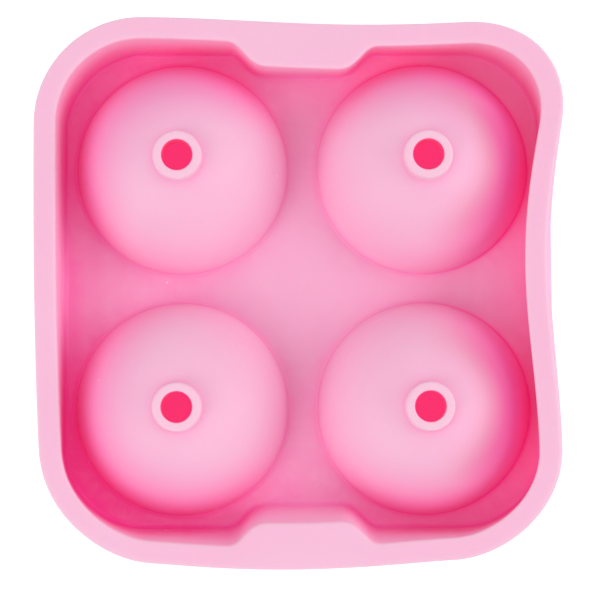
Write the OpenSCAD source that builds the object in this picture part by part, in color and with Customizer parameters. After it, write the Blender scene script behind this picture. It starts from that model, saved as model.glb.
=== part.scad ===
// Two-piece silicone mould for four ice balls. The lid, with four domes and their filling nozzles, is pressed
// onto the base, with four bowls. The origin is on the table under the centre of the base: X runs to the
// right, Y to the back and Z up. The soft rim of the lid stands in the bowed shape that it has relaxed to.

/* [Ice balls] */
// Diameter of an ice ball
ball_d = 45; // [38:0.5:48]
// Distance between the centres of neighbouring balls
ball_pitch = 55.5; // [53:0.5:70]

/* [Walls] */
// Wall of the domes and bowls
shell_t = 2; // [1.4:0.1:2.6]
// Thickness of the flat web between the balls, in each half
web_t = 3; // [2.4:0.1:4]
// Thickness of the side walls
wall_t = 2.6; // [1.8:0.1:3.4]
// Floor left between a dome and the side wall
wall_gap = 2.9; // [1.5:0.1:8]
// Inner radius of the upright corners
corner_r = 18.8; // [10:0.1:24]
// How far a side wall leans out between the web and the rim
wall_lean = 0.4; // [0:0.1:1.5]
// Fillet along the foot of the side walls
wall_root_r = 1.2; // [0.5:0.1:2]
// Fillet around the foot of the domes and bowls
dome_root_r = 0.8; // [0.4:0.1:1.5]

/* [Rim and foot] */
// Height of the lid's rim above its web
rim_rise = 16; // [10:0.5:22]
// Gap between the bowls and the table
bowl_lift = 1; // [0.3:0.1:4]
// Width of the flat rim, and of the foot that mirrors it
rim_w = 5; // [4.2:0.1:8]
// Thickness of the rim and of the foot
rim_t = 3.2; // [2.4:0.1:5]
// Rounding of the rim's edges
rim_edge_r = 0.7; // [0.3:0.1:1]
// Fillet between a side wall and the overhang of the rim
rim_root_r = 0.8; // [0.3:0.1:1.4]

/* [Finger grips] */
// Width of a grip's flat, where the wall stands furthest in
grip_w = 16; // [8:1:20]
// How far the side wall steps in at a grip
grip_depth = 5.3; // [3.5:0.1:6.5]
// Slope of a grip's flanks against the side
grip_angle = 45; // [35:1:60]
// Inner radius where the side turns into the flank
grip_entry_r = 3.5; // [2:0.1:5]
// Inner radius where the flank turns into the flat
grip_flat_r = 6; // [4.5:0.1:7]

/* [Filling nozzles] */
// Diameter of the filling hole
fill_d = 6.7; // [4:0.1:8]
// Outer diameter of a nozzle
nozzle_d = 10.8; // [9.6:0.1:16]
// Height of a nozzle above the top of its dome
nozzle_rise = 2.9; // [1.5:0.1:6]
// Rounding of the nozzle's outer edge
nozzle_edge_r = 0.7; // [0.3:0.1:1]
// Chamfer at the mouth of the filling hole
fill_chamfer = 0.4; // [0.1:0.1:0.6]

/* [Seal rings] */
// Flat land between a bowl's edge and its seal ring
seal_land = 1.2; // [0.8:0.1:1.6]
// Width of a seal ring
seal_w = 1.6; // [1.2:0.1:1.8]
// Height of a seal ring above the base
seal_h = 1.5; // [0.8:0.1:1.6]
// Play of a seal ring in the lid's groove, on every side
seal_play = 0.15; // [0.1:0.05:0.3]
// Chamfer along the top of a seal ring
seal_chamfer = 0.4; // [0.2:0.1:0.5]

/* [Relaxed shape of the lid's rim] */
// How far the right side sags in
sag_right = 5.2; // [0:0.1:6]
// Where the right side sags most, from its middle towards the back
sag_right_at = 10; // [-20:1:20]
// How far the back right corner stands out
corner_out = 1.5; // [0:0.1:2]
// How far the front right corner is drawn in
corner_in = 3.8; // [0:0.1:4]
// How far the front left corner is drawn in
left_in = 3.1; // [0:0.1:4]
// How far the back side sags in
sag_back = 2; // [0:0.1:4]
// Where the back side sags most, from its middle to the right
sag_back_at = 15.5; // [-20:0.5:20]
// How far the whole front side stands out
front_out = 0.7; // [0:0.1:1.5]
// How far the front side bulges out beyond that
bulge_front = 2.5; // [0:0.1:4]
// Where the front side bulges most, from its middle to the right
bulge_front_at = -4; // [-20:1:20]
// How strongly the bend gathers towards the rim: 1 is a straight lean
bend_power = 1.2; // [1:0.1:2]

/* [Hidden] */
silicone_pink = [0.98, 0.70, 0.83];
$fn = 96;

// Joint between the halves, and what follows from the ball
dome_d = ball_d + 2 * shell_t;
dome_r = dome_d / 2;
parting_z = dome_r + bowl_lift;
base_rise = parting_z - web_t;
well_half = ball_pitch / 2 + dome_r + wall_gap;
corner_c = well_half - corner_r;
ball_places = [for (sx = [-1, 1], sy = [-1, 1]) [sx * ball_pitch / 2, sy * ball_pitch / 2]];

// A grip's flank between its two round corners
grip_slant = (grip_depth - (grip_entry_r + grip_flat_r) * (1 - cos(grip_angle))) / sin(grip_angle);
grip_run = (grip_entry_r + grip_flat_r) * sin(grip_angle) + grip_slant * cos(grip_angle);
grip_entry_x = grip_w / 2 + grip_run;

// Seal ring and its groove
seal_r = ball_d / 2 + seal_land;

// The rounded edge of the parting line, and how far one solid reaches into its neighbour
parting_edge = 0.4;
sink = 0.6;
fillet_sink = 0.03;
// Share of the wall at which the web plate ends, and at which the wall's own foot starts
web_reach = 0.7;
foot_start = 0.3;

// The bow starts at this share of the half width from the middle, and is full this much further out
bow_start = 0.22;
bow_span = 0.65;

// Points in an arc about [x, y]
function arc(x, y, r, from, to, steps) =
    [for (i = [0 : steps]) let (a = from + (to - from) * i / steps) [x + r * cos(a), y + r * sin(a)]];

function clamp01(t) = min(1, max(0, t));
function ease(t) = let (c = clamp01(t)) c * c * (3 - 2 * c);
function bell(s) = abs(s) < well_half ? pow(cos(90 * s / well_half), 2) : 0;

// A station of the outline is [foot point of the wall, its outward normal, same place without the grip, its
// outward normal]. The first quarter runs from the middle of the right side to the middle of the back side.
function plain(x, y, a) = let (p = [x, y], n = [cos(a), sin(a)]) [p, n, p, n];
function gripped(p, a) = [p, [cos(a), sin(a)], [p[0], well_half], [0, 1]];

side_steps = 5;
corner_steps = 12;
back_steps = 3;
entry_steps = 4;
flat_turn_steps = 5;
flat_steps = 2;
entry_c = [grip_entry_x, well_half - grip_entry_r];
flat_turn_c = [grip_w / 2, well_half - grip_depth + grip_flat_r];

quarter = concat(
    [for (i = [0 : side_steps - 1]) plain(well_half, corner_c * i / side_steps, 0)],
    [for (i = [0 : corner_steps]) let (a = 90 * i / corner_steps)
        plain(corner_c + corner_r * cos(a), corner_c + corner_r * sin(a), a)],
    [for (i = [1 : back_steps]) plain(corner_c + (grip_entry_x - corner_c) * i / back_steps, well_half, 90)],
    [for (i = [1 : entry_steps]) let (a = 90 + grip_angle * i / entry_steps)
        gripped(entry_c + grip_entry_r * [cos(a), sin(a)], a)],
    [for (i = [0 : flat_turn_steps]) let (a = 90 + grip_angle * (1 - i / flat_turn_steps))
        gripped(flat_turn_c - grip_flat_r * [cos(a), sin(a)], a)],
    [for (i = [1 : flat_steps]) gripped([grip_w / 2 * (1 - i / flat_steps), well_half - grip_depth], 90)]);

function flip_x(s) = [for (v = s) [-v[0], v[1]]];
function flip_y(s) = [for (v = s) [v[0], -v[1]]];
function backwards(list, from, to) = [for (i = [to : -1 : from]) list[i]];

last = len(quarter) - 1;
back_half = concat(quarter, [for (s = backwards(quarter, 0, last - 1)) flip_x(s)]);
stations = concat(back_half, [for (s = backwards(back_half, 1, len(back_half) - 2)) flip_y(s)]);

// How the relaxed rim is displaced above the point [x, y] of the straight one
function bow_weight(s) = ease((s / well_half - bow_start) / bow_span);
function toward_front(y) = clamp01(0.5 - y / (2 * well_half));
function bow_x(x, y) =
    bow_weight(x) * (corner_out - (corner_out + corner_in) * toward_front(y) - sag_right * bell(y - sag_right_at))
    + bow_weight(-x) * left_in * pow(toward_front(y), 3);
function bow_y(x, y) =
    -bow_weight(y) * sag_back * bell(x - sag_back_at)
    - bow_weight(-y) * (front_out + bulge_front * bell(x - bulge_front_at));
function bowed(p, share) = let (x = p[0], y = p[1]) p + share * [bow_x(x, y), bow_y(x, y)];

// Section of a side wall with its rim, as [outward offset, height above the parting line, 1 on the overhang that
// runs straight past a grip]. It starts at the parting line and goes round by the outside.
function rim_corner(u, z, r, from, along) = [for (p = arc(u, z, r, from, from + 90, 2)) [p[0], p[1], along]];
function wall_section(rise, levels) =
    let (top = web_t + rise,
        under = top - rim_t,
        lean = function (z) wall_lean * clamp01((z - web_t) / rise),
        overhang = rim_w + wall_lean,
        mids = [for (i = [1 : 1 : levels]) web_t + (under - web_t) * i / (levels + 1)],
        root_u = wall_t + lean(under) + rim_root_r)
    concat(
        [[foot_start * wall_t, 0, 0], [wall_t - parting_edge, 0, 0], [wall_t, parting_edge, 0], [wall_t, web_t, 0]],
        [for (z = mids) [wall_t + lean(z), z, 0]],
        [for (p = arc(root_u, under - rim_root_r, rim_root_r, 180, 90, 2)) [p[0], p[1], 0]],
        rim_corner(overhang - rim_edge_r, under + rim_edge_r, rim_edge_r, -90, 1),
        rim_corner(overhang - rim_edge_r, top - rim_edge_r, rim_edge_r, 0, 1),
        rim_corner(wall_lean + rim_edge_r, top - rim_edge_r, rim_edge_r, 90, 0),
        [for (z = backwards(mids, 0, len(mids) - 1)) [lean(z), z, 0]],
        [for (p = arc(-wall_root_r, web_t + wall_root_r, wall_root_r, 0, -78, 3)) [p[0], p[1], 0]],
        [[-wall_root_r, web_t - sink, 0]]);

// The section carried round the outline: points station by station, then two triangles per cell
function placed(s, q, rise, bow) =
    let (flat = (1 - q[2]) * (s[0] + q[0] * s[1]) + q[2] * (s[2] + q[0] * s[3]),
        share = bow * pow(clamp01((q[1] - web_t) / rise), bend_power),
        p = bowed(flat, share))
    [p[0], p[1], q[1]];

module side_wall(rise, levels, bow) {
    section = wall_section(rise, levels);
    m = len(section);
    n = len(stations);
    points = [for (s = stations, q = section) placed(s, q, rise, bow)];
    faces = [for (i = [0 : n - 1], j = [0 : m - 1], half = [0, 1])
        let (a = i * m + j,
            b = ((i + 1) % n) * m + j,
            c = ((i + 1) % n) * m + (j + 1) % m,
            d = i * m + (j + 1) % m)
        half == 0 ? [a, c, b] : [a, d, c]];
    polyhedron(points = points, faces = faces);
}

module web_plate() {
    linear_extrude(height = web_t)
        polygon([for (s = stations) s[0] + web_reach * wall_t * s[1]]);
}

// Fillet ring about Z in the corner between a ball of radius r and what stands clear of its foot
module ball_fillet(center, r, inner_r, low_z) {
    touch = center * dome_r / (dome_r + r);
    rotate_extrude()
        difference() {
            polygon([[inner_r, low_z], [center[0], low_z], center, touch, [inner_r, touch[1]]]);
            translate(center) circle(r = r, $fn = 48);
        }
}

module dome_outside() {
    z = web_t + dome_root_r - fillet_sink;
    reach = dome_r + dome_root_r - fillet_sink;
    intersection() {
        sphere(d = dome_d);
        cylinder(d = dome_d + 2, h = dome_r + 1);
    }
    ball_fillet([sqrt(reach * reach - z * z), z], dome_root_r, dome_r - shell_t / 2, web_t - sink);
}

module balls() {
    for (p = ball_places)
        translate([p[0], p[1], 0]) children();
}

// One half before its cavities are cut, with its parting line at z = 0
module half_block(rise, levels, bow) {
    web_plate();
    side_wall(rise, levels, bow);
    balls() dome_outside();
}

module nozzle() {
    r = nozzle_d / 2;
    top = dome_r + nozzle_rise;
    rotate_extrude()
        polygon(concat([[0, dome_r - shell_t], [r, dome_r - shell_t]],
            arc(r - nozzle_edge_r, top - nozzle_edge_r, nozzle_edge_r, 0, 90, 4),
            [[0, top]]));
}

module filling_hole() {
    top = dome_r + nozzle_rise;
    translate([0, 0, ball_d / 2 - shell_t]) cylinder(d = fill_d, h = nozzle_rise + 2 * shell_t + 1);
    translate([0, 0, top - fill_chamfer])
        cylinder(d1 = fill_d, d2 = fill_d + 4 * fill_chamfer, h = 2 * fill_chamfer);
}

module seal_ring() {
    rotate_extrude()
        translate([seal_r, 0])
            polygon([[0, -sink], [seal_w, -sink], [seal_w, seal_h - seal_chamfer],
                [seal_w - seal_chamfer, seal_h], [seal_chamfer, seal_h], [0, seal_h - seal_chamfer]]);
}

module seal_groove() {
    rotate_extrude()
        translate([seal_r - seal_play, -1])
            square([seal_w + 2 * seal_play, 1 + seal_h + seal_play]);
}

module base() {
    color(silicone_pink)
        translate([0, 0, parting_z])
            difference() {
                union() {
                    mirror([0, 0, 1]) half_block(base_rise, 0, 0);
                    balls() seal_ring();
                }
                balls() sphere(d = ball_d);
            }
}

module lid() {
    color(silicone_pink)
        translate([0, 0, parting_z])
            difference() {
                union() {
                    half_block(rim_rise, 3, 1);
                    balls() nozzle();
                }
                balls() {
                    sphere(d = ball_d);
                    filling_hole();
                    seal_groove();
                }
            }
}

base();
lid();
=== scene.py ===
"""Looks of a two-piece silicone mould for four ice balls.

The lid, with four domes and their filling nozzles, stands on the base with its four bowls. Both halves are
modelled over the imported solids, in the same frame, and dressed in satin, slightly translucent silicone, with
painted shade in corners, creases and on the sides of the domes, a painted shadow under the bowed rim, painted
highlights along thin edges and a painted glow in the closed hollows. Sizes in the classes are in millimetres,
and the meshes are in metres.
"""
import logging
import math
from dataclasses import dataclass, field
from enum import Enum
from typing import Callable

import bmesh
import bpy
from mathutils import Euler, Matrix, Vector
from mathutils.bvhtree import BVHTree


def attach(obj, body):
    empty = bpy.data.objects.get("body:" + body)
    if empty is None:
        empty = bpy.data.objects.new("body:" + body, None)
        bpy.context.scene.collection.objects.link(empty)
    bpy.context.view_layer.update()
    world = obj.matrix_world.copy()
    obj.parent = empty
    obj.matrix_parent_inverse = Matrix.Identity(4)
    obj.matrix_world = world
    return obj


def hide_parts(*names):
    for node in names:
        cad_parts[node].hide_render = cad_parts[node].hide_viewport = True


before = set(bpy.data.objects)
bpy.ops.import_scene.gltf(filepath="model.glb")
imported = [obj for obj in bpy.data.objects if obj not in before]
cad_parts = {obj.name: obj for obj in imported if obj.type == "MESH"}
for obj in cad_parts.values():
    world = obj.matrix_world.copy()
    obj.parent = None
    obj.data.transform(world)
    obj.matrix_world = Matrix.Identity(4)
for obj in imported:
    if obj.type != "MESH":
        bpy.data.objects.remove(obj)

log = logging.getLogger("ice_ball_mould")

MM = 0.001
TINY = 1e-6
NEAR = 0.02

Test = Callable[[Vector], bool]
Move = Callable[[Vector], Vector]
Paint = tuple[float, float, float] | bpy.types.NodeSocket


class Kind(Enum):
    """What is picked in a mesh that is being edited."""

    VERTS = "VERT"
    EDGES = "EDGE"
    FACES = "FACE"


class Which(Enum):
    """Which half of the mould is made."""

    LID = "lid"
    BASE = "base"


class Mark(Enum):
    """Attributes of the mesh that the finish reads: painted shade, painted highlight, the closed hollows for a
    painted glow, and a painted shadow.
    """

    DEPTH = "depth"
    EDGE = "edge"
    ENCLOSED = "enclosed"
    RIM_SHADOW = "rose"


def ease(t: float) -> float:
    """Smooth step from 0 to 1.

    Args:
        t: place along the step, also outside 0 to 1.

    Returns:
        The height of the step there.
    """
    c = min(1.0, max(0.0, t))
    return c * c * (3.0 - 2.0 * c)


@dataclass(frozen=True)
class MouldSizes:
    """Sizes that both halves share, in millimetres."""

    ball_d: float = 45.0
    ball_pitch: float = 55.5
    shell_t: float = 2.0
    web_t: float = 3.0
    wall_t: float = 2.6
    wall_gap: float = 2.9
    corner_r: float = 18.8
    wall_lean: float = 0.4
    bowl_lift: float = 1.0
    rim_rise: float = 16.0
    rim_w: float = 5.0
    rim_t: float = 3.2

    @property
    def ball_r(self) -> float:
        """Radius of an ice ball."""
        return self.ball_d / 2

    @property
    def dome_r(self) -> float:
        """Outer radius of a dome."""
        return self.ball_r + self.shell_t

    @property
    def parting_z(self) -> float:
        """Height of the joint between the halves."""
        return self.dome_r + self.bowl_lift

    @property
    def base_rise(self) -> float:
        """Height of the foot's sole beyond the base's web."""
        return self.parting_z - self.web_t

    @property
    def well_half(self) -> float:
        """Half the width of the well between the side walls."""
        return self.ball_pitch / 2 + self.dome_r + self.wall_gap

    @property
    def corner_c(self) -> float:
        """Where the centre of an upright corner stands, on both axes."""
        return self.well_half - self.corner_r

    def from_well(self, p: Vector) -> float:
        """Distance of a point outside the well's plain outline, seen from above; negative within it."""
        qx, qy = abs(p.x) - self.corner_c, abs(p.y) - self.corner_c
        return math.hypot(max(qx, 0.0), max(qy, 0.0)) + min(max(qx, qy), 0.0) - self.corner_r

    def outward(self, p: Vector) -> Vector:
        """Level direction straight out of the well at a point."""
        qx, qy = max(abs(p.x) - self.corner_c, 0.0), max(abs(p.y) - self.corner_c, 0.0)
        n = Vector((math.copysign(qx, p.x), math.copysign(qy, p.y), 0.0))
        return n.normalized() if n.length > 0 else n


@dataclass(frozen=True)
class FingerGrip:
    """The place in the middle of the front and back where the side wall steps in for the fingers."""

    width: float = 16.0
    depth: float = 5.3
    angle: float = 45.0
    entry_r: float = 3.5
    flat_r: float = 6.0

    @property
    def slant(self) -> float:
        """Length of the straight part of a flank."""
        a = math.radians(self.angle)
        return (self.depth - (self.entry_r + self.flat_r) * (1 - math.cos(a))) / math.sin(a)

    @property
    def entry_x(self) -> float:
        """How far from the middle the grip ends."""
        a = math.radians(self.angle)
        return self.width / 2 + (self.entry_r + self.flat_r) * math.sin(a) + self.slant * math.cos(a)

    def station(self, share: float, side_y: float) -> tuple[Vector, Vector]:
        """Point of the stepped outline.

        Args:
            share: 0 in the middle of the grip, 1 at its end.
            side_y: how far out the plain side stands.

        Returns:
            The point and the outward direction there, for the right half of the back side.
        """
        a = math.radians(self.angle)
        flat, turn, entry = self.width / 2, self.flat_r * a, self.entry_r * a
        s = share * (flat + turn + self.slant + entry)
        if s <= flat:
            return Vector((s, side_y - self.depth, 0)), Vector((0, 1, 0))
        s -= flat
        centre = Vector((flat, side_y - self.depth + self.flat_r, 0))
        if s <= turn:
            n = Vector((-math.sin(s / self.flat_r), math.cos(s / self.flat_r), 0))
            return centre - self.flat_r * n, n
        n = Vector((-math.sin(a), math.cos(a), 0))
        s -= turn
        if s <= self.slant:
            return centre - self.flat_r * n + s * Vector((math.cos(a), math.sin(a), 0)), n
        left = a - (s - self.slant) / self.entry_r
        n = Vector((-math.sin(left), math.cos(left), 0))
        return Vector((self.entry_x, side_y - self.entry_r, 0)) + self.entry_r * n, n


@dataclass(frozen=True)
class RimBow:
    """The shape that the lid's soft rim has relaxed to: how far its sides and corners have moved."""

    well_half: float
    sag_right: float = 5.2
    sag_right_at: float = 10.0
    corner_out: float = 1.5
    corner_in: float = 3.8
    left_in: float = 3.1
    sag_back: float = 2.0
    sag_back_at: float = 15.5
    front_out: float = 0.7
    bulge_front: float = 2.5
    bulge_front_at: float = -4.0
    power: float = 1.2
    start: float = 0.22
    span: float = 0.65

    def _weight(self, s: float) -> float:
        """Share of the bow at a distance from the middle."""
        return ease((s / self.well_half - self.start) / self.span)

    def _bell(self, s: float) -> float:
        """A soft bump one side long."""
        return math.cos(math.pi / 2 * s / self.well_half) ** 2 if abs(s) < self.well_half else 0.0

    def shift(self, p: Vector, share: float) -> Vector:
        """How far a point has moved.

        Args:
            p: the point as moulded.
            share: 0 at the web, 1 at the top of the rim.

        Returns:
            The move, in millimetres.
        """
        front = min(1.0, max(0.0, 0.5 - p.y / (2 * self.well_half)))
        x = self._weight(p.x) * (self.corner_out - (self.corner_out + self.corner_in) * front
                                 - self.sag_right * self._bell(p.y - self.sag_right_at))
        x += self._weight(-p.x) * self.left_in * front ** 3
        y = -self._weight(p.y) * self.sag_back * self._bell(p.x - self.sag_back_at)
        y -= self._weight(-p.y) * (self.front_out + self.bulge_front * self._bell(p.x - self.bulge_front_at))
        return share ** self.power * Vector((x, y, 0.0))


class Bench:
    """One mesh on the bench, shaped with edit operators. Places and sizes are given in millimetres."""

    def __init__(self, name: str) -> None:
        """Name the object that the last primitive made and start editing it."""
        self.obj: bpy.types.Object = bpy.context.object
        self.obj.name = name
        bpy.ops.object.transform_apply(location=True, rotation=True, scale=True)
        self.edit()

    @staticmethod
    def clear() -> None:
        """Deselect everything before a primitive is added."""
        if bpy.context.object and bpy.context.object.mode != "OBJECT":
            bpy.ops.object.mode_set(mode="OBJECT")
        bpy.ops.object.select_all(action="DESELECT")

    def edit(self) -> None:
        """Enter edit mode."""
        bpy.ops.object.mode_set(mode="EDIT")

    def done(self) -> None:
        """Leave edit mode."""
        bpy.ops.object.mode_set(mode="OBJECT")

    def pick(self, kind: Kind, test: Test) -> None:
        """Select the vertices, edges or faces whose corners all pass a test.

        Args:
            kind: what is picked.
            test: is given a corner's place in millimetres.
        """
        bpy.ops.mesh.select_mode(type=kind.value)
        bpy.ops.mesh.select_all(action="DESELECT")
        mesh = bmesh.from_edit_mesh(self.obj.data)
        passed = {v: test(v.co / MM) for v in mesh.verts}
        if kind is Kind.VERTS:
            picked = [v for v in mesh.verts if passed[v]]
        else:
            rows = mesh.edges if kind is Kind.EDGES else mesh.faces
            picked = [row for row in rows if all(passed[v] for v in row.verts)]
        if not picked:
            raise ValueError(f"nothing to pick on {self.obj.name}")
        for row in picked:
            row.select_set(True)
        bmesh.update_edit_mesh(self.obj.data)

    def pick_all(self) -> None:
        """Select the whole mesh."""
        bpy.ops.mesh.select_mode(type=Kind.VERTS.value)
        bpy.ops.mesh.select_all(action="SELECT")

    def pull(self, x: float = 0.0, y: float = 0.0, z: float = 0.0) -> None:
        """Extrude what is selected and move it."""
        bpy.ops.mesh.extrude_region_move(TRANSFORM_OT_translate={"value": (x * MM, y * MM, z * MM)})

    def inset(self, width: float) -> None:
        """Inset the selected faces by an even width."""
        bpy.ops.mesh.inset(thickness=width * MM, use_boundary=True, use_even_offset=True,
                           use_relative_offset=False)

    def round_off(self, radius: float, steps: int, test: Test) -> None:
        """Round the edges whose ends pass a test.

        Args:
            radius: size of the rounding.
            steps: segments across it.
            test: picks the edges.
        """
        self.pick(Kind.EDGES, test)
        bpy.ops.mesh.bevel(offset_type="OFFSET", offset=radius * MM, segments=steps, profile=0.5,
                           affect="EDGES", clamp_overlap=False, loop_slide=True)

    def weld(self, reach: float = 0.001) -> None:
        """Merge vertices that lie within reach of each other, and turn the faces outwards."""
        self.pick_all()
        bpy.ops.mesh.remove_doubles(threshold=reach * MM)
        bpy.ops.mesh.normals_make_consistent(inside=False)

    def press(self, move: Move) -> None:
        """Leave edit mode and move every vertex.

        Args:
            move: gives the new place of a point, in millimetres.
        """
        self.done()
        for v in self.obj.data.vertices:
            v.co = move(v.co / MM) * MM
        self.obj.data.update()


@dataclass
class SideWall:
    """Side wall of one half with its flat rim, and the outline of its web, upright on the parting line."""

    sizes: MouldSizes
    grip: FingerGrip
    rise: float
    bow: RimBow | None = None
    edge_r: float = 0.7
    root_r: float = 0.8
    floor_r: float = 1.2
    parting_edge: float = 0.4
    hold: float = 0.3
    rim_hold: float = 0.9
    edge_steps: int = 4
    floor_steps: int = 6
    parting_steps: int = 3
    under_band: float = 2.0
    parting_band: float = 0.9
    top_band: float = 1.3
    floor_band: float = 2.0
    corner_steps: int = 22
    well_levels: int = 6
    long_cuts: int = 119
    side_cuts: int = 39
    straight_from: float = 4.25

    @property
    def top(self) -> float:
        """Height of the rim."""
        return self.sizes.web_t + self.rise

    @property
    def under(self) -> float:
        """Height of the rim's underside."""
        return self.top - self.sizes.rim_t

    def build(self, name: str) -> Bench:
        """Make the wall as a slab that is drawn down into a frame.

        Args:
            name: of the object.

        Returns:
            The bench with the wall, its web still open on both sides.
        """
        bench = self._slab(name)
        self._draw_wall(bench)
        self._sink_well(bench)
        self._round_edges(bench)
        self._open_web(bench)
        bench.press(self._place)
        return bench

    def _loop(self, u: float, z: float) -> Test:
        """Test for the loop at a distance from the well's outline and a height."""
        return lambda p: abs(p.z - z) < NEAR and abs(self.sizes.from_well(p) - u) < NEAR

    def _level(self, z: float, within: float = 1e3) -> Test:
        """Test for what lies at a height, not further out than within."""
        return lambda p: abs(p.z - z) < NEAR and self.sizes.from_well(p) < within + NEAR

    def _slab(self, name: str) -> Bench:
        """Make the rim as a flat slab with round corners."""
        half = self.sizes.well_half + self.sizes.rim_w
        Bench.clear()
        bpy.ops.mesh.primitive_plane_add(size=2 * half * MM, location=(0, 0, self.under * MM))
        bench = Bench(name)
        bench.pick_all()
        bpy.ops.mesh.bevel(offset_type="OFFSET", offset=(self.sizes.corner_r + self.sizes.rim_w) * MM,
                           segments=self.corner_steps, profile=0.5, affect="VERTICES", clamp_overlap=False)
        bpy.ops.mesh.select_mode(type="FACE")
        bpy.ops.mesh.select_all(action="SELECT")
        bpy.ops.mesh.delete(type="ONLY_FACE")
        bench.pick(Kind.EDGES, lambda p: abs(abs(p.y) - half) < NEAR)
        bpy.ops.mesh.subdivide(number_cuts=self.long_cuts)
        bench.pick(Kind.EDGES, lambda p: abs(abs(p.x) - half) < NEAR)
        bpy.ops.mesh.subdivide(number_cuts=self.side_cuts)
        bench.pick_all()
        bpy.ops.mesh.edge_face_add()
        bench.pull(z=self.sizes.rim_t)
        bench.weld()
        return bench

    def _draw_wall(self, bench: Bench) -> None:
        """Draw the side wall down from under the rim to the parting line."""
        bench.pick(Kind.FACES, self._level(self.under))
        bench.inset(self.sizes.rim_w - self.sizes.wall_t)
        drop = self.under - self.sizes.web_t
        for step in (self.under_band, drop / 2 - self.under_band, drop / 2,
                     self.sizes.web_t - self.parting_band, self.parting_band):
            bench.pull(z=-step)

    def _sink_well(self, bench: Bench) -> None:
        """Sink the well into the slab, down to the web."""
        bench.pick(Kind.FACES, self._level(self.top))
        bench.inset(self.sizes.rim_w)
        plain = (self.rise - self.top_band - self.floor_band) / self.well_levels
        for step in (self.top_band, *([plain] * self.well_levels), self.floor_band):
            bench.pull(z=-step)

    def _round_edges(self, bench: Bench) -> None:
        """Round the edges of rim and wall, and fillet their inner corners."""
        s = self.sizes
        for u, z in ((0, self.top), (s.rim_w, self.top), (s.rim_w, self.under)):
            bench.round_off(self.edge_r, self.edge_steps, self._loop(u, z))
        bench.round_off(self.root_r, self.edge_steps, self._loop(s.wall_t, self.under))
        bench.round_off(self.floor_r, self.floor_steps, self._loop(0, s.web_t))
        bench.round_off(self.parting_edge, self.parting_steps, self._loop(s.wall_t, 0))

    def _open_web(self, bench: Bench) -> None:
        """Hold the flats with narrow bands, then open the web's two faces."""
        bench.pick(Kind.FACES, lambda p: abs(p.z - self.top) < NEAR)
        bench.inset(self.rim_hold)
        bench.pick(Kind.FACES, lambda p: abs(p.z - self.under) < NEAR)
        bench.inset(self.hold)
        for z in (self.sizes.web_t, 0.0):
            bench.pick(Kind.FACES, self._level(z, self.sizes.wall_t))
            bench.inset(self.hold)
            bpy.ops.mesh.delete(type="ONLY_FACE")

    def _place(self, p: Vector) -> Vector:
        """Where a point of the plain wall ends up: leaned out, pressed in at a grip and bowed."""
        s, g = self.sizes, self.grip
        u = s.from_well(p)
        share = min(1.0, max(0.0, (p.z - s.web_t) / self.rise))
        u_leaned = u + s.wall_lean * share
        out = s.outward(p)
        q = p + (u_leaned - u) * out
        if abs(p.x) < g.entry_x and u < self.straight_from:
            at, n = g.station(abs(p.x) / g.entry_x, s.well_half)
            q = at + u_leaned * n
            q = Vector((math.copysign(q.x, p.x), math.copysign(q.y, p.y), p.z))
        if self.bow:
            q += self.bow.shift(q, share)
        return q


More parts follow.
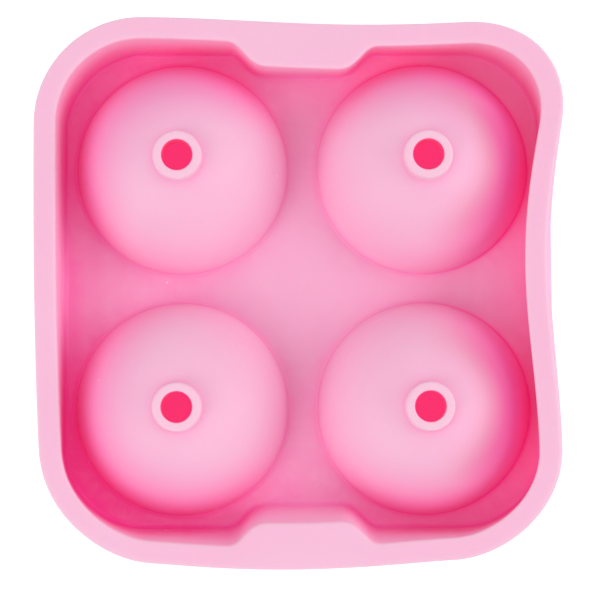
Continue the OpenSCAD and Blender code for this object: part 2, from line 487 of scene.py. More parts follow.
@dataclass
class BallForm:
    """One dome or bowl with all that is turned about its axis, upright on the parting line."""

    sizes: MouldSizes
    which: Which
    foot_r: float = 0.8
    fill_d: float = 6.7
    nozzle_d: float = 10.8
    nozzle_rise: float = 2.9
    nozzle_edge_r: float = 0.7
    nozzle_foot_r: float = 0.35
    mouth_r: float = 0.45
    skirt_reach: float = 0.45
    parting_reach: float = 26.1
    seal_land: float = 1.2
    seal_w: float = 1.6
    seal_h: float = 1.5
    seal_play: float = 0.15
    seal_chamfer: float = 0.4
    dome_steps: int = 30
    turn_steps: int = 96
    foot_steps: int = 5
    collar_steps: int = 4
    rim_steps: int = 6
    mouth_steps: int = 5
    rim_band: float = 0.5
    bore_rows: tuple[float, ...] = (0.1, 0.5, 0.93)

    @property
    def seal_r(self) -> float:
        """Inner radius of the seal ring."""
        return self.sizes.ball_r + self.seal_land

    @property
    def foot_c(self) -> Vector:
        """Centre of the fillet at the dome's foot, in the plane of the section."""
        z = self.sizes.web_t + self.foot_r
        reach = self.sizes.dome_r + self.foot_r
        return Vector((math.sqrt(reach * reach - z * z), 0, z))

    @property
    def collar_c(self) -> Vector:
        """Centre of the fillet at the nozzle's foot, in the plane of the section."""
        x = self.nozzle_d / 2 + self.nozzle_foot_r
        reach = self.sizes.dome_r + self.nozzle_foot_r
        return Vector((x, 0, math.sqrt(reach * reach - x * x)))

    def build(self, name: str) -> Bench:
        """Draw the section and turn it about the ball's axis.

        Args:
            name: of the object.

        Returns:
            The bench with the turned form, open along its two skirts.
        """
        bench = self._arc(name)
        self._outside(bench)
        self._inside(bench)
        bench.pick_all()
        bpy.ops.mesh.spin(steps=self.turn_steps, angle=2 * math.pi, center=(0, 0, 0), axis=(0, 0, 1))
        bench.weld()
        bench.done()
        return bench

    def _arc(self, name: str) -> Bench:
        """Cut the dome's own arc out of a circle that stands on edge."""
        s = self.sizes
        low = math.atan2(self.foot_c.z, self.foot_c.x)
        high = math.atan2(self.collar_c.z, self.collar_c.x) if self.which is Which.LID else math.pi / 2
        Bench.clear()
        bpy.ops.mesh.primitive_circle_add(vertices=4 * self.dome_steps, radius=s.dome_r * MM,
                                          rotation=(math.pi / 2, 0, 0))
        bench = Bench(name)
        past = NEAR if self.which is Which.BASE else -NEAR
        bench.pick(Kind.VERTS, lambda p: p.x < -NEAR or not (
            low + NEAR < math.atan2(p.z, max(p.x, 0.0)) < high + past))
        bpy.ops.mesh.delete(type="VERT")
        self._end(bench, lambda p: p.z)
        self._reach(bench, self._at(s.dome_r, low))
        return bench

    def _at(self, radius: float, angle: float) -> Vector:
        """Point of the section at a radius and an angle above the parting line."""
        return Vector((radius * math.cos(angle), 0, radius * math.sin(angle)))

    def _end(self, bench: Bench, rank: Callable[[Vector], float]) -> None:
        """Select the vertex of lowest rank.

        Args:
            bench: holds the section.
            rank: gives a number for a point.
        """
        mesh = bmesh.from_edit_mesh(bench.obj.data)
        best = min((v.co / MM for v in mesh.verts), key=rank)
        bench.pick(Kind.VERTS, lambda p: (p - best).length < NEAR / 10)

    def _reach(self, bench: Bench, to: Vector) -> None:
        """Extrude the selected vertex of the section to a place."""
        mesh = bmesh.from_edit_mesh(bench.obj.data)
        at = next(v.co / MM for v in mesh.verts if v.select)
        bench.pull(x=to.x - at.x, z=to.z - at.z)

    def _curve(self, bench: Bench, centre: Vector, radius: float, start: float, end: float,
               steps: int) -> None:
        """Extrude the selected vertex along an arc.

        Args:
            bench: holds the section.
            centre: of the arc.
            radius: of the arc.
            start: angle at which the arc starts, in degrees above +X.
            end: angle at which it ends.
            steps: how many edges it gets.
        """
        for i in range(1, steps + 1):
            a = math.radians(start + (end - start) * i / steps)
            self._reach(bench, centre + self._at(radius, a))

    def _outside(self, bench: Bench) -> None:
        """Finish the outer section: foot, skirt and, on the lid, the nozzle."""
        s = self.sizes
        low = math.degrees(math.atan2(self.foot_c.z, self.foot_c.x))
        self._curve(bench, self.foot_c, self.foot_r, 180 + low, 270, self.foot_steps)
        self._reach(bench, Vector((self.foot_c.x + self.skirt_reach, 0, s.web_t)))
        if self.which is Which.BASE:
            return
        r, top = self.nozzle_d / 2, s.dome_r + self.nozzle_rise
        high = math.atan2(self.collar_c.z, self.collar_c.x)
        self._end(bench, lambda p: -p.z)
        self._reach(bench, self._at(s.dome_r, high))
        self._curve(bench, self.collar_c, self.nozzle_foot_r, 180 + math.degrees(high), 180,
                    self.collar_steps)
        edge = Vector((r - self.nozzle_edge_r, 0, top - self.nozzle_edge_r))
        self._reach(bench, Vector((r, 0, edge.z - self.rim_band)))
        self._reach(bench, Vector((r, 0, edge.z)))
        self._curve(bench, edge, self.nozzle_edge_r, 0, 90, self.rim_steps)
        mouth = Vector((self.fill_d / 2 + self.mouth_r, 0, top - self.mouth_r))
        self._reach(bench, Vector((mouth.x, 0, top)))
        self._curve(bench, mouth, self.mouth_r, 90, 180, self.mouth_steps)
        for share in self.bore_rows:
            z = mouth.z + share * (math.sqrt(s.ball_r ** 2 - (self.fill_d / 2) ** 2) - mouth.z)
            self._reach(bench, Vector((self.fill_d / 2, 0, z)))

    def _inside(self, bench: Bench) -> None:
        """Draw the inner section: ball, parting face and seal."""
        s = self.sizes
        ball = s.ball_r
        if self.which is Which.LID:
            high = 90 - math.degrees(math.asin(self.fill_d / 2 / ball))
            self._reach(bench, self._at(ball, math.radians(high)))
        else:
            high = 90.0
            self._end(bench, lambda p: -p.z)
            bpy.ops.mesh.duplicate_move(TRANSFORM_OT_translate={"value": (0, 0, -s.shell_t * MM)})
        self._curve(bench, Vector((0, 0, 0)), ball, high, 0, self.dome_steps)
        for x, z in self._seal():
            self._reach(bench, Vector((x, 0, z)))
        self._reach(bench, Vector((self.parting_reach, 0, 0)))

    def _seal(self) -> list[tuple[float, float]]:
        """Corners of the seal's section, from the ball outwards: a ring on the base, a groove in the lid."""
        r, w, h, c, p = self.seal_r, self.seal_w, self.seal_h, self.seal_chamfer, self.seal_play
        if self.which is Which.LID:
            return [(r - p, 0), (r - p, h + p), (r + w + p, h + p), (r + w + p, 0)]
        return [(r, 0), (r, c - h), (r + c, -h), (r + w - c, -h), (r + w, c - h), (r + w, 0)]


@dataclass
class MouldHalf:
    """One moulded half: a side wall, four ball forms and the web that joins them, in a single skin."""

    which: Which
    sizes: MouldSizes
    grip: FingerGrip = field(default_factory=FingerGrip)
    joint_gap: float = 0.04
    web_grid: float = 2.5
    crease: float = 38.0

    @property
    def places(self) -> list[tuple[float, float]]:
        """Where the four balls stand."""
        h = self.sizes.ball_pitch / 2
        return [(sx * h, sy * h) for sx in (-1, 1) for sy in (-1, 1)]

    def build(self) -> bpy.types.Object:
        """Make the half where it stands on the table.

        Returns:
            The finished object, at the origin, with its place in its mesh.
        """
        lid = self.which is Which.LID
        rise = self.sizes.rim_rise if lid else self.sizes.base_rise
        bow = RimBow(self.sizes.well_half) if lid else None
        balls = self._four(BallForm(self.sizes, self.which).build(f"{self.which.value}_ball"))
        wall = SideWall(self.sizes, self.grip, rise, bow).build(f"{self.which.value}_silicone")
        Bench.clear()
        for ball in balls:
            ball.select_set(True)
        wall.obj.select_set(True)
        bpy.context.view_layer.objects.active = wall.obj
        bpy.ops.object.join()
        wall.edit()
        self._fill_web(wall)
        self._rule_web(wall)
        self._stand(wall)
        wall.done()
        Bench.clear()
        wall.obj.select_set(True)
        bpy.ops.object.shade_smooth_by_angle(angle=math.radians(self.crease))
        return wall.obj

    def _four(self, form: Bench) -> list[bpy.types.Object]:
        """Copy a ball form to the four places, each copy with its own mesh."""
        made = []
        for x, y in self.places:
            Bench.clear()
            form.obj.select_set(True)
            bpy.context.view_layer.objects.active = form.obj
            bpy.ops.object.duplicate(linked=False)
            bpy.ops.transform.translate(value=(x * MM, y * MM, 0))
            bpy.ops.object.transform_apply(location=True, rotation=False, scale=False)
            made.append(bpy.context.object)
        bpy.data.objects.remove(form.obj)
        return made

    def _fill_web(self, wall: Bench) -> None:
        """Span the web's two faces between the wall and the four ball forms."""
        for z in (self.sizes.web_t, 0.0):
            bpy.ops.mesh.select_mode(type="EDGE")
            bpy.ops.mesh.select_all(action="DESELECT")
            mesh = bmesh.from_edit_mesh(wall.obj.data)
            for e in mesh.edges:
                if e.is_boundary and all(abs(v.co.z / MM - z) < NEAR for v in e.verts):
                    e.select_set(True)
            bmesh.update_edit_mesh(wall.obj.data)
            bpy.ops.mesh.fill(use_beauty=True)
        wall.weld()

    def _rule_web(self, wall: Bench) -> None:
        """Rule the web's open face into a grid, so that the painted shade can change smoothly over it."""
        wall.pick(Kind.FACES, lambda p: abs(p.z - self.sizes.web_t) < NEAR)
        bpy.ops.mesh.hide(unselected=True)
        half = self.sizes.well_half
        count = round(2 * half / self.web_grid)
        for side in (Vector((1, 0, 0)), Vector((0, 1, 0))):
            for i in range(1, count):
                bpy.ops.mesh.select_all(action="SELECT")
                at = (2 * i / count - 1) * half * MM * side
                bpy.ops.mesh.bisect(plane_co=at, plane_no=side)
        bpy.ops.mesh.reveal(select=False)

    def _stand(self, wall: Bench) -> None:
        """Turn the base over, and lift either half to the parting line."""
        wall.pick_all()
        lift = self.sizes.parting_z
        if self.which is Which.BASE:
            bpy.ops.transform.resize(value=(1, 1, -1), center_override=(0, 0, 0))
            bpy.ops.mesh.normals_make_consistent(inside=False)
        else:
            lift += self.joint_gap
        bpy.ops.transform.translate(value=(0, 0, lift * MM))


@dataclass(frozen=True)
class PaintedLightAndShade:
    """Marks painted light and shade on each spot of the closed mould, worked out from rays cast over it.

    Painted shade makes the pink deeper in corners and creases, and on the sides of a dome that face the walls,
    standing in for light that gets there through more of the silicone. A painted shadow makes a right dome
    rosier where it sinks behind the rim that bows in, a painted highlight makes thin edges paler, and the
    closed hollows are picked out for a painted glow, where light seeps in.
    """

    sizes: MouldSizes
    ball: BallForm
    rays: int = 48
    from_below: float = 0.08
    reach: float = 90.0
    close_by: float = 1.3
    lift: float = 0.08
    slack: float = 0.12
    foot: float = 0.7
    close_shade: float = 0.85
    crease_shade: float = 0.3
    crease_rise: float = 1.2
    flange_shade: float = 0.16
    flange_from: float = 0.25
    flange_span: float = 0.5
    wall_fade: float = 11.0
    wall_light: float = 0.55
    edge_r: float = 0.7
    highlight_turn: float = 0.125
    collar_from: float = 0.5
    highlight_spread: float = 0.35
    open_shade: float = 0.04
    corner_shade: float = 1.1
    corner_power: float = 1.55
    corner_swing: tuple[float, float, float] = (-0.0044, -0.0026, 0.0)
    dome_shade: float = 0.02
    dome_share: float = 0.35
    side_shade: float = 1.035
    side_from: float = 0.192
    side_span: float = 1.16
    side_swing: tuple[float, float, float] = (0.25, -0.41, 0.0)
    side_shift: tuple[float, float, float] = (-0.014, 0.273, 0.0)
    bow_shade: float = 0.956
    bow_from: float = -0.26
    bow_span: float = 1.56
    bow_above: float = 5.0
    bow_fade: float = 7.0
    rim_shadow_above: float = 4.0
    rim_shadow_rise: float = 3.5
    rim_shadow_below: float = 1.0
    rim_shadow_fade: float = 5.0

    def _fan(self) -> list[Vector]:
        """Directions about +Z, spread evenly over what a level spot sees of the sky."""
        fan = []
        for i in range(self.rays):
            share, turn = (i + 0.5) / self.rays, i * math.pi * (3 - math.sqrt(5))
            out = math.sqrt(share)
            fan.append(Vector((out * math.cos(turn), out * math.sin(turn), math.sqrt(1 - share))))
        return fan

    def _from_ball(self, p: Vector) -> float:
        """Distance of a point from the centre of the nearest ball."""
        half = self.sizes.ball_pitch / 2
        return Vector((abs(p.x) - half, abs(p.y) - half, p.z - self.sizes.parting_z)).length

    def _from_axis(self, p: Vector) -> float:
        """Distance of a point from the upright axis of the nearest ball."""
        half = self.sizes.ball_pitch / 2
        return math.hypot(abs(p.x) - half, abs(p.y) - half)

    def _below_rim(self, p: Vector) -> float:
        """How far a point lies below the top of the rim."""
        s = self.sizes
        return s.parting_z + s.web_t + s.rim_rise - p.z

    def _is_enclosed(self, p: Vector) -> bool:
        """Whether a point lies on a ball's surface, in the joint or on a seal."""
        s, b = self.sizes, self.ball
        up = p.z - s.parting_z
        within_seal = self._from_axis(p) < b.seal_r + b.seal_w + self.slack
        on_seal = 0 < up < b.seal_h + 2 * self.slack and within_seal
        return self._from_ball(p) < s.ball_r + self.slack or abs(up) < self.slack or on_seal

    def _is_bore(self, p: Vector) -> bool:
        """Whether a point lies in a filling hole."""
        return p.z > self.sizes.parting_z and self._from_axis(p) < self.ball.fill_d / 2 + self.slack

    def _blocked(self, tree: BVHTree, fan: list[Vector],
                 vertex: bpy.types.MeshVertex) -> tuple[float, float]:
        """How much of its surroundings a spot sees blocked.

        Args:
            tree: the closed mould.
            fan: directions to look in.
            vertex: the spot.

        Returns:
            The share of the light from above that doesn't reach the spot, and the share of all directions
            that something close by blocks.
        """
        turn = vertex.normal.to_track_quat("Z", "X")
        start = vertex.co + vertex.normal * self.lift * MM
        lost, due, close = 0.0, 0.0, 0
        for d in (turn @ d for d in fan):
            share = 1.0 if d.z > 0 else self.from_below
            due += share
            gap = tree.ray_cast(start, d, self.reach * MM)[3]
            if gap is not None:
                lost += share
                close += gap < self.close_by * MM
        return lost / due, close / self.rays

    def _painted_shade(self, p: Vector, n: Vector, lost: float, close: float) -> float:
        """Painted shade at a spot: how deep its pink is made.

        Args:
            p: the spot, in millimetres.
            n: its normal.
            lost: share of the light from above that it misses.
            close: share of its surroundings that something close by blocks.

        Returns:
            The painted shade, from 0 to 1.
        """
        s = self.sizes
        # The corner shade is painted a little stronger towards the left and the front.
        swing = 1 + p.dot(Vector(self.corner_swing))
        plain = self.open_shade + self.corner_shade * swing * lost ** self.corner_power
        down = self._below_rim(p)
        # Less painted shade high up near the rim top; the flange's outer side gets some.
        plain *= 1 - self.wall_light * (1 - ease(down / self.wall_fade))
        if down < s.rim_t:
            plain += self.flange_shade * ease((s.outward(p).dot(n) - self.flange_from) / self.flange_span)
        # Painted shade on dome sides facing the walls and under the bowed rim, and in tight creases.
        side = max(self._side_shade(p, n), self._shade_under_bow(p, n))
        domed = 1 - (1 - self.dome_shade - side) * (1 - self.dome_share * lost)
        on_dome = ease(1 - (self._from_ball(p) - s.dome_r) / self.foot)
        creases = self.close_shade * close + self.crease_shade * self._in_crease(p, n)
        return min(1.0, plain + (domed - plain) * on_dome + creases)

    def _in_crease(self, p: Vector, n: Vector) -> float:
        """How far a spot lies within a fillet along the floor: 0 beside it, 1 where it slants most."""
        above = p.z - self.sizes.parting_z - self.sizes.web_t
        return 4 * n.z * (1 - n.z) * ease(1 - above / self.crease_rise) if n.z > 0 else 0.0

    def _side_shade(self, p: Vector, n: Vector) -> float:
        """Painted shade on the side of a dome that faces the nearest wall, swung by which way the side faces.
        """
        to_wall = Vector((p.x ** 3, p.y ** 3, 0)).normalized().dot(n)
        facing = ease((to_wall - self.side_from + n.dot(Vector(self.side_shift))) / self.side_span)
        return self.side_shade * (1 + n.dot(Vector(self.side_swing))) * facing

    def _shade_under_bow(self, p: Vector, n: Vector) -> float:
        """Painted shade on the side of a right dome that faces the wall where it bows in."""
        sunk = ease((self._below_rim(p) + self.bow_above) / self.bow_fade)
        return self.bow_shade * self._to_bow(p, n) * sunk

    def _to_bow(self, p: Vector, n: Vector) -> float:
        """How much a spot on a right dome faces the wall that bows in."""
        if p.x < 0:
            return 0.0
        return ease((n.x / max(math.hypot(n.x, n.y), TINY) - self.bow_from) / self.bow_span)

    def _rim_shadow(self, p: Vector, n: Vector) -> float:
        """Painted shadow where a right dome sinks behind the rim that bows in: how much darker and rosier.

        Args:
            p: the spot, in millimetres.
            n: its normal.

        Returns:
            The share, from 0 to 1.
        """
        if self._from_ball(p) > self.sizes.dome_r + self.slack or p.z < self.sizes.parting_z:
            return 0.0
        down = self._below_rim(p)
        comes = ease((down + self.rim_shadow_above) / self.rim_shadow_rise)
        goes = ease((down - self.rim_shadow_below) / self.rim_shadow_fade)
        return comes * (1 - goes) * self._to_bow(p, n)

    def _painted_highlight(self, p: Vector, n: Vector) -> float:
        """Painted highlight on a thin edge, of the rim or of a nozzle: how much paler a spot is made.

        Args:
            p: the spot, in millimetres.
            n: its normal.

        Returns:
            The share, from 0 to 1.
        """
        s, b = self.sizes, self.ball
        if p.z > s.parting_z and self._from_axis(p) < b.nozzle_d / 2 + self.slack:
            up = self._from_ball(p) - s.dome_r - b.nozzle_foot_r
            beside = ease((self._from_axis(p) - b.fill_d / 2) / b.mouth_r)
            return ease(up / (self.collar_from * b.nozzle_rise)) * beside
        down = self._below_rim(p)
        if down > self.edge_r or self._from_ball(p) < s.dome_r + self.foot:
            return 0.0
        return ease((1 - n.z) / self.highlight_turn) * ease(1 - down / self.edge_r)

    def _spread(self, piece: bpy.types.Object, pale: list[float]) -> list[float]:
        """Let the painted highlight of an edge run on to the next vertices.

        Args:
            piece: the half.
            pale: how much painted highlight each of its vertices has.

        Returns:
            The same, spread by one edge.
        """
        wide = list(pale)
        for e in piece.data.edges:
            a, b = e.vertices
            wide[a] = max(wide[a], self.highlight_spread * pale[b])
            wide[b] = max(wide[b], self.highlight_spread * pale[a])
        return wide

    def mark(self, pieces: list[bpy.types.Object]) -> None:
        """Write the painted light and shade marks on the closed mould.

        Args:
            pieces: the two halves, in place.
        """
        corners: list[Vector] = []
        faces: list[tuple[int, ...]] = []
        for piece in pieces:
            start = len(corners)
            corners += [v.co for v in piece.data.vertices]
            faces += [tuple(start + i for i in f.vertices) for f in piece.data.polygons]
        tree = BVHTree.FromPolygons(corners, faces)
        fan = self._fan()
        for piece in pieces:
            marks: dict[Mark, list[float]] = {kind: [] for kind in Mark}
            for v in piece.data.vertices:
                p, n = v.co / MM, v.normal
                # A bore gets full painted shade; closed hollows get none, only the mask for their painted glow.
                bore = self._is_bore(p)
                if bore or self._is_enclosed(p):
                    found = {Mark.DEPTH: float(bore), Mark.EDGE: 0.0, Mark.ENCLOSED: 1.0, Mark.RIM_SHADOW: 0.0}
                else:
                    depth = self._painted_shade(p, n, *self._blocked(tree, fan, v))
                    found = {Mark.DEPTH: depth, Mark.EDGE: self._painted_highlight(p, n), Mark.ENCLOSED: 0.0,
                             Mark.RIM_SHADOW: self._rim_shadow(p, n)}
                for kind in Mark:
                    marks[kind].append(found[kind])
            marks[Mark.EDGE] = self._spread(piece, marks[Mark.EDGE])
            for kind in Mark:
                made = piece.data.attributes.new(kind.value, "FLOAT", "POINT")
                made.data.foreach_set("value", marks[kind])


class NodeBuilder:
    """Adds nodes to a tree and links them."""

    def __init__(self, tree: bpy.types.NodeTree) -> None:
        """Work on a tree."""
        self.tree = tree

    @classmethod
    def for_group(cls, name: str, inputs: dict[str, float], outputs: tuple[str, ...]) -> "NodeBuilder":
        """Start a node group that takes and gives numbers.

        Args:
            name: of the group.
            inputs: their names and defaults.
            outputs: their names.

        Returns:
            A builder that works on the group.
        """
        tree = bpy.data.node_groups.new(name, "ShaderNodeTree")
        for each, value in inputs.items():
            socket = tree.interface.new_socket(each, in_out="INPUT", socket_type="NodeSocketFloat")
            socket.default_value = value
        for each in outputs:
            tree.interface.new_socket(each, in_out="OUTPUT", socket_type="NodeSocketFloat")
        return cls(tree)

    def add(self, kind: str, inputs: dict[str | int, object] | None = None,
            **settings: object) -> bpy.types.Node:
        """Add a node.

        Args:
            kind: of the node, without its ShaderNode prefix.
            inputs: by socket name or number, a value or another node's output.
            settings: properties of the node.

        Returns:
            The node.
        """
        node = self.tree.nodes.new("ShaderNode" + kind)
        for key, value in settings.items():
            setattr(node, key, value)
        for key, value in (inputs or {}).items():
            if isinstance(value, bpy.types.NodeSocket):
                self.tree.links.new(value, node.inputs[key])
            else:
                node.inputs[key].default_value = value
        return node

    def group(self, shared: bpy.types.NodeTree, **values: float) -> bpy.types.Node:
        """Add a shared node group.

        Args:
            shared: the group.
            values: for its inputs.

        Returns:
            The node.
        """
        node = self.tree.nodes.new("ShaderNodeGroup")
        node.node_tree = shared
        for name, value in values.items():
            node.inputs[name].default_value = value
        return node

    def mark(self, kind: Mark) -> bpy.types.NodeSocket:
        """Read a mark from the mesh."""
        return self.add("Attribute", attribute_name=kind.value).outputs["Fac"]

    def mix(self, share: bpy.types.NodeSocket, low: Paint, high: Paint,
            blend: str = "MIX") -> bpy.types.NodeSocket:
        """Mix two colours.

        Args:
            share: of the second colour.
            low: the first colour, or a node's output.
            high: the second.
            blend: how the second goes over the first.

        Returns:
            The mixed colour.
        """
        ends = [c if isinstance(c, bpy.types.NodeSocket) else (*c, 1) for c in (low, high)]
        node = self.add("Mix", {0: share, 6: ends[0], 7: ends[1]}, data_type="RGBA", blend_type=blend)
        return node.outputs[2]


@dataclass(frozen=True)
class SatinSkin:
    """Group for the satin skin of moulded silicone: fine grain, soft waves and a faint cloudiness."""

    name: str = "satin_skin"
    cloud_low: float = 0.35
    cloud_high: float = 0.68
    grain_share: float = 0.12

    def build(self) -> bpy.types.NodeTree:
        """Make the group once.

        Returns:
            The group, with Cloud, Roughness and Height as outputs.
        """
        b = NodeBuilder.for_group(self.name, {"Grain Scale": 900.0, "Wave Scale": 60.0, "Cloud Scale": 28.0,
                                              "Roughness": 0.5, "Roughness Swing": 0.06},
                                  ("Cloud", "Roughness", "Height"))
        tree = b.tree
        given = tree.nodes.new("NodeGroupInput")
        place = b.add("TexCoord").outputs["Object"]
        grain = b.add("TexNoise", {"Vector": place, "Scale": given.outputs["Grain Scale"], "Detail": 2.0})
        wave = b.add("TexNoise", {"Vector": place, "Scale": given.outputs["Wave Scale"], "Detail": 2.0})
        cloud = b.add("TexNoise", {"Vector": place, "Scale": given.outputs["Cloud Scale"], "Detail": 4.0,
                                   "Roughness": 0.6})
        mask = b.add("MapRange", {"Value": cloud.outputs["Fac"], "From Min": self.cloud_low,
                                  "From Max": self.cloud_high})
        swing = b.add("Math", {0: mask.outputs["Result"], 1: given.outputs["Roughness Swing"],
                               2: given.outputs["Roughness"]}, operation="MULTIPLY_ADD")
        height = b.add("Math", {0: grain.outputs["Fac"], 1: self.grain_share, 2: wave.outputs["Fac"]},
                       operation="MULTIPLY_ADD")
        out = tree.nodes.new("NodeGroupOutput")
        tree.links.new(mask.outputs["Result"], out.inputs["Cloud"])
        tree.links.new(swing.outputs["Value"], out.inputs["Roughness"])
        tree.links.new(height.outputs["Value"], out.inputs["Height"])
        return tree


@dataclass(frozen=True)
class Dust:
    """Group for the fine dust and lint that silicone picks up."""

    name: str = "clinging_dust"

    def build(self) -> bpy.types.NodeTree:
        """Make the group once.

        Returns:
            The group, with Mask as its output.
        """
        b = NodeBuilder.for_group(self.name, {"Scale": 350.0, "Size": 0.1, "Amount": 0.4}, ("Mask",))
        tree = b.tree
        given = tree.nodes.new("NodeGroupInput")
        place = b.add("TexCoord").outputs["Object"]
        cells = b.add("TexVoronoi", {"Vector": place, "Scale": given.outputs["Scale"]}, feature="F1")
        speck = b.add("Math", {0: cells.outputs["Distance"], 1: given.outputs["Size"]},
                      operation="LESS_THAN")
        some = b.add("SeparateColor", {"Color": cells.outputs["Color"]})
        kept = b.add("Math", {0: some.outputs[0], 1: given.outputs["Amount"]}, operation="LESS_THAN")
        both = b.add("Math", {0: speck.outputs["Value"], 1: kept.outputs["Value"]}, operation="MULTIPLY")
        out = tree.nodes.new("NodeGroupOutput")
        tree.links.new(both.outputs["Value"], out.inputs["Mask"])
        return tree


@dataclass(frozen=True)
class SiliconeFinish:
    """Satin pink silicone, slightly translucent, with painted shade, shadow, highlight and glow mixed in from
    the mesh's marks.
    """

    name: str = "pink_silicone"
    body: tuple[float, float, float] = (0.968, 0.517, 0.713)
    cloud: tuple[float, float, float] = (0.968, 0.542, 0.733)
    # Painted shade: the deeper pink mixed in where the depth mark is high.
    deep: tuple[float, float, float] = (0.945, 0.08, 0.44)
    # Painted shade inside the filling holes, deeper still.
    bore_shade: tuple[float, float, float] = (0.92, 0.03, 0.2)
    # Painted highlight along thin edges of the rim and nozzles.
    edge: tuple[float, float, float] = (0.955, 0.585, 0.735)
    # Painted shadow of the bowed rim on the right domes, multiplied into the colour.
    rose: tuple[float, float, float] = (0.85, 0.96, 0.77)
    # Painted glow in the closed hollows, for light that seeps in through the silicone.
    glow: tuple[float, float, float] = (0.088, 0.015, 0.044)
    # Painted light: a faint pink emission in the shaded spots, for light that travels through the silicone.
    painted_pink_light: tuple[float, float, float] = (0.036, 0.0, 0.012)
    dust: tuple[float, float, float] = (0.98, 0.70, 0.83)
    unlit: tuple[float, float, float] = (0.0, 0.0, 0.0)
    reach: tuple[float, float, float] = (1.0, 0.2, 0.35)
    reach_mm: float = 1.2
    scatter: float = 0.2
    roughness: float = 0.5
    ior: float = 1.41
    sheen: float = 0.1
    sheen_roughness: float = 0.5
    dust_share: float = 0.008
    relief_mm: float = 0.05
    relief_strength: float = 0.25

    def build(self, skin: bpy.types.NodeTree, lint: bpy.types.NodeTree) -> bpy.types.Material:
        """Make the material.

        Args:
            skin: group of the satin skin.
            lint: group of the dust.

        Returns:
            The material.
        """
        made = bpy.data.materials.new(self.name)
        made.use_nodes = True
        tree = made.node_tree
        b = NodeBuilder(tree)
        shader = tree.nodes["Principled BSDF"]
        satin = b.group(skin, Roughness=self.roughness)
        specks = b.group(lint, Amount=self.dust_share)
        depth, enclosed = b.mark(Mark.DEPTH), b.mark(Mark.ENCLOSED)
        # The filling holes get a still deeper painted shade.
        bore = b.add("Math", {0: depth, 1: enclosed}, operation="MULTIPLY")
        colour = b.mix(satin.outputs["Cloud"], self.body, self.cloud)
        # Painted shade from the depth mark.
        colour = b.mix(depth, colour, self.deep)
        colour = b.mix(bore.outputs["Value"], colour, self.bore_shade)
        # Painted shadow where a right dome sinks behind the bowed rim.
        colour = b.mix(b.mark(Mark.RIM_SHADOW), colour, self.rose, "MULTIPLY")
        # Painted highlight along thin edges.
        colour = b.mix(b.mark(Mark.EDGE), colour, self.edge)
        colour = b.mix(specks.outputs["Mask"], colour, self.dust)
        tree.links.new(colour, shader.inputs["Base Color"])
        # Painted light that grows with the painted shade, sent out as emission.
        light = b.mix(depth, self.unlit, self.painted_pink_light)
        # Painted glow in the closed hollows, the joint and the seals.
        tree.links.new(b.mix(enclosed, light, self.glow), shader.inputs["Emission Color"])
        bump = b.add("Bump", {"Strength": self.relief_strength, "Distance": self.relief_mm * MM,
                              "Height": satin.outputs["Height"]})
        tree.links.new(satin.outputs["Roughness"], shader.inputs["Roughness"])
        tree.links.new(bump.outputs["Normal"], shader.inputs["Normal"])
        shader.subsurface_method = "RANDOM_WALK"
        for name, value in (("Emission Strength", 1.0), ("Subsurface Weight", self.scatter),
                            ("Subsurface Radius", self.reach), ("Subsurface Scale", self.reach_mm * MM),
                            ("IOR", self.ior), ("Sheen Weight", self.sheen),
                            ("Sheen Roughness", self.sheen_roughness)):
            shader.inputs[name].default_value = value
        made.diffuse_color = (*self.body, 1)
        return made


@dataclass(frozen=True)
class SoftBox:
    """A square lamp with a soft front, aimed at the mould."""

    name: str
    around: float
    above: float
    watts: float
    away_m: float = 1.2
    size_m: float = 0.8

    def hang(self) -> None:
        """Hang the lamp at its angles round and above the mould, in degrees."""
        around, above = math.radians(self.around), math.radians(self.above)
        at = self.away_m * Vector((math.cos(above) * math.cos(around), math.cos(above) * math.sin(around),
                                   math.sin(above)))
        Bench.clear()
        aim = (-at).to_track_quat("-Z", "Y").to_euler()
        bpy.ops.object.light_add(type="AREA", location=at, rotation=aim)
        lamp = bpy.context.object
        lamp.name = self.name
        lamp.data.shape = "SQUARE"
        lamp.data.size = self.size_m
        lamp.data.energy = self.watts


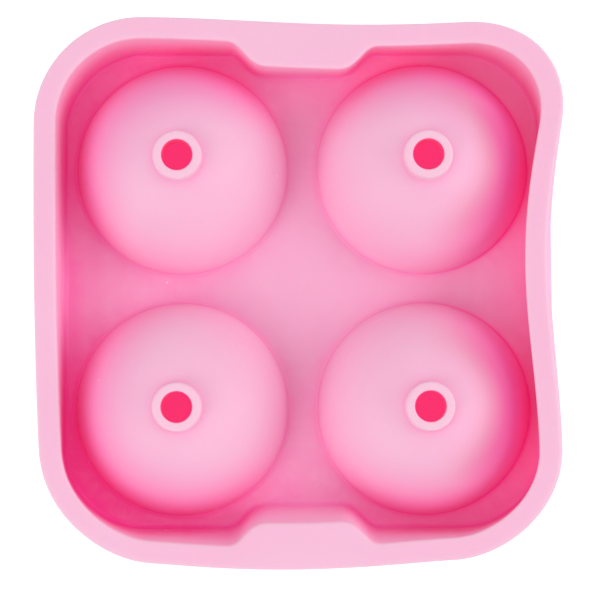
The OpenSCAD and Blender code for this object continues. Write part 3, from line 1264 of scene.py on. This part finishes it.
@dataclass(frozen=True)
class Studio:
    """Pale floor, soft light and the camera that looks down on the mould."""

    floor_half_m: float = 3.0
    floor_white: float = 0.9
    floor_roughness: float = 0.9
    floor_glow: float = 0.42
    world_strength: float = 0.64
    lamps: tuple[SoftBox, ...] = (SoftBox("left_lamp", 214, 38, 4.6), SoftBox("right_lamp", 0, 25, 5.2),
                                  SoftBox("back_lamp", 90, 35, 1.2))
    diffuse_bounces: int = 12
    max_bounces: int = 16
    lens_mm: float = 113.95
    sensor_mm: float = 36.0
    clip_m: tuple[float, float] = (0.01, 20.0)
    camera_mm: tuple[float, float, float] = (-2.58, -35.78, 467.32)
    camera_turn: tuple[float, float, float] = (4.324, -0.243, -0.195)

    def build(self) -> None:
        """Set up floor, world, lamps, camera and light paths."""
        self._floor()
        self._world()
        for lamp in self.lamps:
            lamp.hang()
        self._camera()
        scene = bpy.context.scene
        scene.view_settings.view_transform = "Standard"
        scene.cycles.diffuse_bounces = self.diffuse_bounces
        scene.cycles.max_bounces = self.max_bounces

    def _seen(self, b: NodeBuilder) -> bpy.types.NodeSocket:
        """Mask of rays that see the background: from the camera, or by gloss or glass."""
        path = b.add("LightPath")
        first = b.add("Math", {0: path.outputs["Is Camera Ray"], 1: path.outputs["Is Glossy Ray"]},
                      operation="MAXIMUM")
        both = b.add("Math", {0: first.outputs["Value"], 1: path.outputs["Is Transmission Ray"]},
                     operation="MAXIMUM")
        return both.outputs["Value"]

    def _floor(self) -> None:
        """Lay a white floor that keeps the mould's soft shadow."""
        Bench.clear()
        bpy.ops.mesh.primitive_plane_add(size=2 * self.floor_half_m, location=(0, 0, 0))
        floor = bpy.context.object
        floor.name = "floor"
        made = bpy.data.materials.new("floor_white")
        made.use_nodes = True
        shader = made.node_tree.nodes["Principled BSDF"]
        shader.inputs["Base Color"].default_value = (*([self.floor_white] * 3), 1)
        shader.inputs["Roughness"].default_value = self.floor_roughness
        shader.inputs["Specular IOR Level"].default_value = 0.0
        b = NodeBuilder(made.node_tree)
        made.node_tree.links.new(self._seen(b), shader.inputs["Emission Strength"])
        shader.inputs["Emission Color"].default_value = (*([self.floor_glow] * 3), 1)
        floor.data.materials.append(made)

    def _world(self) -> None:
        """Light the mould evenly from all sides, and show white behind it."""
        world = bpy.data.worlds.new("white_surroundings")
        bpy.context.scene.world = world
        world.use_nodes = True
        tree = world.node_tree
        b = NodeBuilder(tree)
        back = tree.nodes["Background"]
        back.inputs["Color"].default_value = (1, 1, 1, 1)
        strength = b.add("MapRange", {"Value": self._seen(b), "To Min": self.world_strength, "To Max": 1.0})
        tree.links.new(strength.outputs["Result"], back.inputs["Strength"])

    def _camera(self) -> None:
        """Put the camera above the mould, where the photograph was taken from."""
        Bench.clear()
        turn = Euler([math.radians(a) for a in self.camera_turn])
        bpy.ops.object.camera_add(location=[c * MM for c in self.camera_mm], rotation=turn)
        camera = bpy.context.object
        camera.name = "camera"
        camera.data.lens = self.lens_mm
        camera.data.sensor_width = self.sensor_mm
        camera.data.clip_start, camera.data.clip_end = self.clip_m
        bpy.context.scene.camera = camera


def main() -> None:
    """Build both halves and the studio, in order."""
    logging.basicConfig(level=logging.INFO, format="%(name)s: %(message)s")
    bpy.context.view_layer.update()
    sizes = MouldSizes()
    silicone = SiliconeFinish().build(SatinSkin().build(), Dust().build())
    halves = {which: MouldHalf(which, sizes).build() for which in Which}
    # Work out the painted shade, shadow, highlight and glow marks on the closed mould.
    PaintedLightAndShade(sizes, BallForm(sizes, Which.LID)).mark(list(halves.values()))
    for which, piece in halves.items():
        piece.data.materials.clear()
        piece.data.materials.append(silicone)
        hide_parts(which.value)
        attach(piece, which.value)
        log.info("%s has %d faces", piece.name, len(piece.data.polygons))
    Studio().build()


if __name__ == "__main__":
    main()
